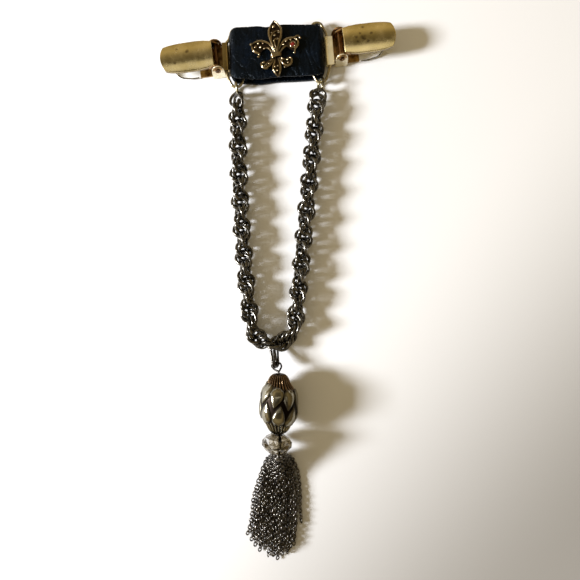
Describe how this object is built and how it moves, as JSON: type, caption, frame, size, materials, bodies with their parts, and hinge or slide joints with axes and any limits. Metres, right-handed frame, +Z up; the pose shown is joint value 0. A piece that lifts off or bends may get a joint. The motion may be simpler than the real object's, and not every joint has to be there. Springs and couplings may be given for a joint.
{
  "type": "sweater clip",
  "caption": "Leather band with a fleur-de-lis ornament between two hinged clips, with a hanging twisted chain loop, bead and chain tassel.",
  "frame": {"origin": "middle of the whole piece's bounding box, on the table it lies on", "axes": "+Z up from the table, +Y from the tassel to the leather band, +X to the right-hand clip"},
  "size_m": [0.1016, 0.238, 0.0173],
  "materials": {
    "leather": "smooth dark navy leather with fine creases and a soft sheen",
    "antique_gold": "cast and antiqued, brown in the hollows and bright on the rims",
    "red_glass": "cut and polished, foil backed",
    "pale_gold": "polished pale gold wire",
    "clip_gold": "polished gold plate, worn, with dark tarnish spots",
    "gunmetal": "dark antiqued plate, bright where worn",
    "pewter": "dark polished pewter, brown between the lobes",
    "crystal": "clear cut crystal"
  },
  "bodies": {
    "band": {"leather_band": "leather", "fleur_ornament": "antique_gold", "red_stone": "red_glass", "ring_left": "pale_gold", "ring_right": "pale_gold", "link_left": "pale_gold", "link_right": "pale_gold", "chain": "gunmetal", "bail": "gunmetal", "bead_wire": "gunmetal", "bead": "pewter", "crystal_bead": "crystal", "tassel": "gunmetal"},
    "clip_left": {"clip_base_left": "clip_gold", "clip_pin_left": "clip_gold"},
    "clip_right": {"clip_base_right": "clip_gold", "clip_pin_right": "clip_gold"},
    "lever_left": {"clip_lever_left": "clip_gold"},
    "lever_right": {"clip_lever_right": "clip_gold"}
  },
  "joints": [
    {"name": "clip_swing_left", "type": "hinge", "parent": "band", "child": "clip_left", "pos_m": [-0.0231, 0.10307, 0.0031], "axis": [-0.0523, 0.9986, 0], "range_deg": [-50, 35]},
    {"name": "clip_swing_right", "type": "hinge", "parent": "band", "child": "clip_right", "pos_m": [0.022, 0.10558, 0.0031], "axis": [0.0872, -0.9962, 0], "range_deg": [-50, 35]},
    {"name": "lever_turn_left", "type": "hinge", "parent": "clip_left", "child": "lever_left", "pos_m": [-0.0272, 0.10257, 0.005], "axis": [-0.1305, 0.9914, 0], "range_deg": [0, 95]},
    {"name": "lever_turn_right", "type": "hinge", "parent": "clip_right", "child": "lever_right", "pos_m": [0.0272, 0.10787, 0.005], "axis": [0.1305, -0.9914, 0], "range_deg": [0, 95]}
  ]
}
